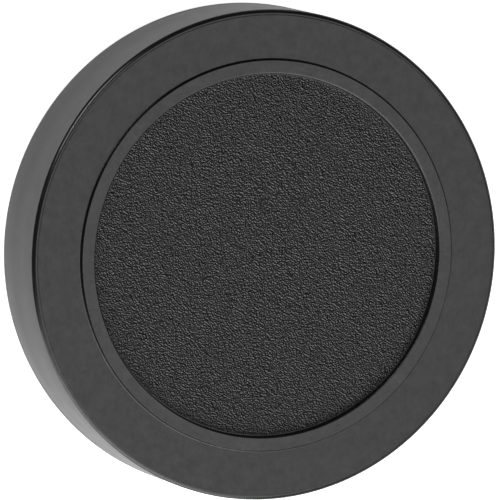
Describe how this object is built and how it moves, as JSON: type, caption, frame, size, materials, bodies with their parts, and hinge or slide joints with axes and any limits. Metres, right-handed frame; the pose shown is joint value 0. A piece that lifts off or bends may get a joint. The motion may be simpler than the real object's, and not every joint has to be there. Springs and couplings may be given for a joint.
{
  "type": "lens cap",
  "caption": "Push-on lens cap: a shallow round cup with a plain skirt, a raised ring on its front and a recessed grained floor inside the ring.",
  "frame": {"origin": "on the axis, in the plane of the mouth", "axes": "+Z along the axis from the mouth to the front; the cap is round, so X and Y are free"},
  "size_m": [0.0536, 0.0536, 0.0105],
  "materials": {
    "cap": "satin black, with a fine leather-like grain on the recessed floor"
  },
  "bodies": {
    "root": {"lens_cap": "cap"}
  },
  "joints": []
}
